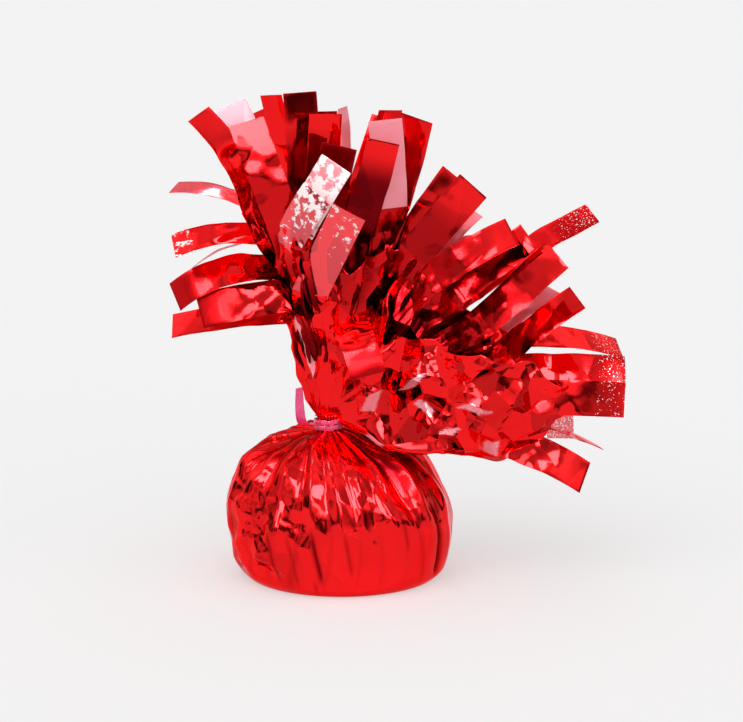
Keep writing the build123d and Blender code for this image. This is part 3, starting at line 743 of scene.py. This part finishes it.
def tieWinding():
    # helix of two turns round the neck, whose radius, height and breadth waver with sines of the turn
    turn = np.radians(tie["start"]) + np.linspace(0, 2 * np.pi * tie["turns"], tie["steps"])
    out = np.stack([np.cos(turn), np.sin(turn), 0 * turn], 1)
    up = np.tile([0.0, 0.0, 1.0], (len(turn), 1))
    radius = tie["radius"] * (1 + tie["sway"] * np.sin(11 * turn))
    climb = tie["bottom"] + tie["pitch"] * (turn - turn[0]) / (2 * np.pi) + tie["wave"] * np.sin(5 * turn)
    line = np.array([*tie["centre"], 0]) + radius[:, None] * out + climb[:, None] * up
    ruffle = 1 + tie["ruffle"] * np.sin(13 * turn + 1.5 * np.sin(3 * turn))[:, None, None]
    return carried(line, up, out, tie["tall"] * ruffle, tie["thick"], tie["sides"], tie["rib"])[:, ::-1]


def tieBlade():
    # the twisted ends: a band along their route that narrows and turns evenly about it
    line = smoothLine(tie["endRoute"], tie["endSteps"])
    heading = unit(np.gradient(line, axis=0))
    facing = np.array(tie["endFacing"], float)
    side = unit(facing - (heading @ facing)[:, None] * heading)
    up = np.cross(heading, side)
    share = np.linspace(0, 1, len(line))[:, None]
    angle = np.radians(tie["endTwist"]) * share
    turned = side * np.cos(angle) + up * np.sin(angle)
    width = between((tie["endWidth"], tie["endTipWidth"]), share)[:, None]
    over = np.cross(heading, turned)
    return carried(line, turned, over, width, tie["endThick"], tie["endSides"], tie["endRib"])


tieBand = filmObject("tie_band", [(tieWinding(), True, True)], tieFilm)
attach(tieBand, "weight_base")
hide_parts("tie_cover")
tieTwist = filmObject("tie_twist", [(tieBlade(), True, True)], tieFilm)
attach(tieTwist, "tie_end")
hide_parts("tie_end")
print("tie made")


# Studio: pale floor and background, soft lamps, and a dome of soft boxes that only reflections show
white = (1, 1, 1, 1)
studio = dict(
    pale=(0.85, 0.85, 0.86, 1), ambient=0.6,
    floorColour=(0.38, 0.38, 0.38, 1), floorGlow=0.475, floorRoughness=0.5, floorSize=12.0, floorDrop=0.05,
    lamps=dict(key=(-35, 55, 0.9, 50), fill=(50, 40, 0.6, 70), top=(170, 70, 0.5, 60)),
)  # each lamp's bearing and height in degrees, its strength, and how wide it looks from the object
dome = dict(
    radius=3000, columns=289, rows=121, pale=0.8, clouds=0.5,
    darkest=0.05, darkFrom=1, darkRise=3, darkTo=14, fade=8, darkShare=0.62, darkSwing=0.38,
    boxes=[  # bearing, height, half breadth, half height and softness of the edge in degrees, brightness
        (130, 55, 22, 10, 6, 2), (225, 55, 22, 10, 6, 2), (-38, 37, 16, 9, 7, 1.8), (62, 32, 18, 9, 7, 1.9),
        (8, 30, 14, 8, 4, 8), (-105, 40, 20, 10, 8, 1.7), (165, 35, 22, 10, 8, 1.6), (5, 9, 9, 6, 4, 0.7),
        (-60, 9, 8, 6, 4, 0.8), (100, 10, 12, 7, 5, 0.9), (-150, 10, 14, 7, 5, 0.9),
        (-18, 45, 17, 18, 2.5, 18), (38, 51, 13, 11, 2.5, 18), (-74, 54, 11, 9, 3, 18),
        (180, 57, 16, 7, 3, 18),
    ],
)


def domeSurface(d):
    # bearing by height on a half sphere: its glow is pale with slow waves of both angles, falls to almost
    # nothing in a band over the horizon, and takes on each box's brightness inside that box
    b = np.radians(np.linspace(-180, 180, d["columns"]))[None]
    height = np.linspace(0, 90, d["rows"])[:, None]
    h = np.radians(height)
    waves = 0.5 * np.sin(3 * b + 0.8 + 2 * np.sin(4 * h)) + 0.5 * np.sin(5 * b - 1.1 + 7 * h)
    glow = d["pale"] * (1 + d["clouds"] * waves)
    band = ramp(height, d["darkFrom"], d["darkRise"]) * (1 - ramp(height, d["darkTo"], d["fade"]))
    glow = glow + (d["darkest"] - glow) * band * (d["darkShare"] + d["darkSwing"] * np.sin(9 * b + 2))
    for middle, level, breadth, tall, soft, bright in d["boxes"]:
        aside = np.abs(offBearing(b, middle))
        inside = ease((breadth - aside) / soft) * ease((tall - np.abs(height - level)) / soft)
        glow = glow + (bright - glow) * inside
    out = np.stack([np.sin(b) * np.cos(h), -np.cos(b) * np.cos(h), np.sin(h) + 0 * b], -1)
    return d["radius"] * out, glow


domeMaterial = bpy.data.materials.new("dome")
domeMaterial.use_nodes = True
domeMaterial.node_tree.nodes.clear()
domeInputs = {"Color": white, "Strength": readMark(domeMaterial, "glow")}
domeShine = addNode(domeMaterial, "ShaderNodeEmission", domeInputs)
addNode(domeMaterial, "ShaderNodeOutputMaterial", {"Surface": domeShine.outputs[0]})
domeGrid, domeLevels = domeSurface(dome)
domePiece = filmObject("dome", [(domeGrid, False, False)], domeMaterial, None, {"glow": domeLevels})
domePiece.visible_camera = domePiece.visible_diffuse = domePiece.visible_shadow = False

floorMaterial = newMaterial("floor", Base_Color=studio["floorColour"], Roughness=studio["floorRoughness"],
                            Specular_IOR_Level=0.0, Emission_Color=white,
                            Emission_Strength=studio["floorGlow"])[0]
floorGrid = np.array([[(-1, -1, 0), (1, -1, 0)], [(-1, 1, 0), (1, 1, 0)]]) * studio["floorSize"] / 2 / mm
floorGrid = floorGrid - np.array([0, 0, studio["floorDrop"]])
floor = filmObject("floor", [(floorGrid, False, False)], floorMaterial)

world = bpy.data.worlds.new("studio")
bpy.context.scene.world = world
world.use_nodes = True
world.node_tree.nodes.clear()
lightPath = addNode(world, "ShaderNodeLightPath")
ambient = addNode(world, "ShaderNodeBackground", {"Color": white, "Strength": studio["ambient"]})
backdrop = addNode(world, "ShaderNodeBackground", {"Color": studio["pale"], "Strength": 1.0})
shown = lightPath.outputs["Is Camera Ray"]
for ray in ("Is Glossy Ray", "Is Transmission Ray"):
    shown = pair(world, "MAXIMUM", shown, lightPath.outputs[ray])
either = addNode(world, "ShaderNodeMixShader", {0: shown, 1: ambient.outputs[0], 2: backdrop.outputs[0]})
addNode(world, "ShaderNodeOutputWorld", {"Surface": either.outputs[0]})

for name, (bearing, height, power, breadth) in studio["lamps"].items():
    light = bpy.data.lights.new(name, "SUN")
    light.energy = power
    light.angle = math.radians(breadth)
    lamp = bpy.data.objects.new(name, light)
    lamp.rotation_euler = (math.radians(90 - height), 0, math.radians(bearing))
    lamp.visible_glossy = False
    bpy.context.scene.collection.objects.link(lamp)

# Camera: the photograph's angle; field is how many millimetres the picture spans at the target
view = dict(target=(8.45, 0, 62.1), elevation=12, lens=135, sensor=36, field=212.9)
cameraData = bpy.data.cameras.new("camera")
cameraData.lens = view["lens"]
cameraData.sensor_width = view["sensor"]
camera = bpy.data.objects.new("camera", cameraData)
tilt = math.radians(view["elevation"])
back = np.array([0, -math.cos(tilt), math.sin(tilt)])
camera.location = (np.array(view["target"]) + view["field"] * view["lens"] / view["sensor"] * back) * mm
camera.rotation_euler = (math.pi / 2 - tilt, 0, 0)
bpy.context.scene.collection.objects.link(camera)
bpy.context.scene.camera = camera
bpy.context.scene.view_settings.view_transform = "Standard"
print("studio and camera set")
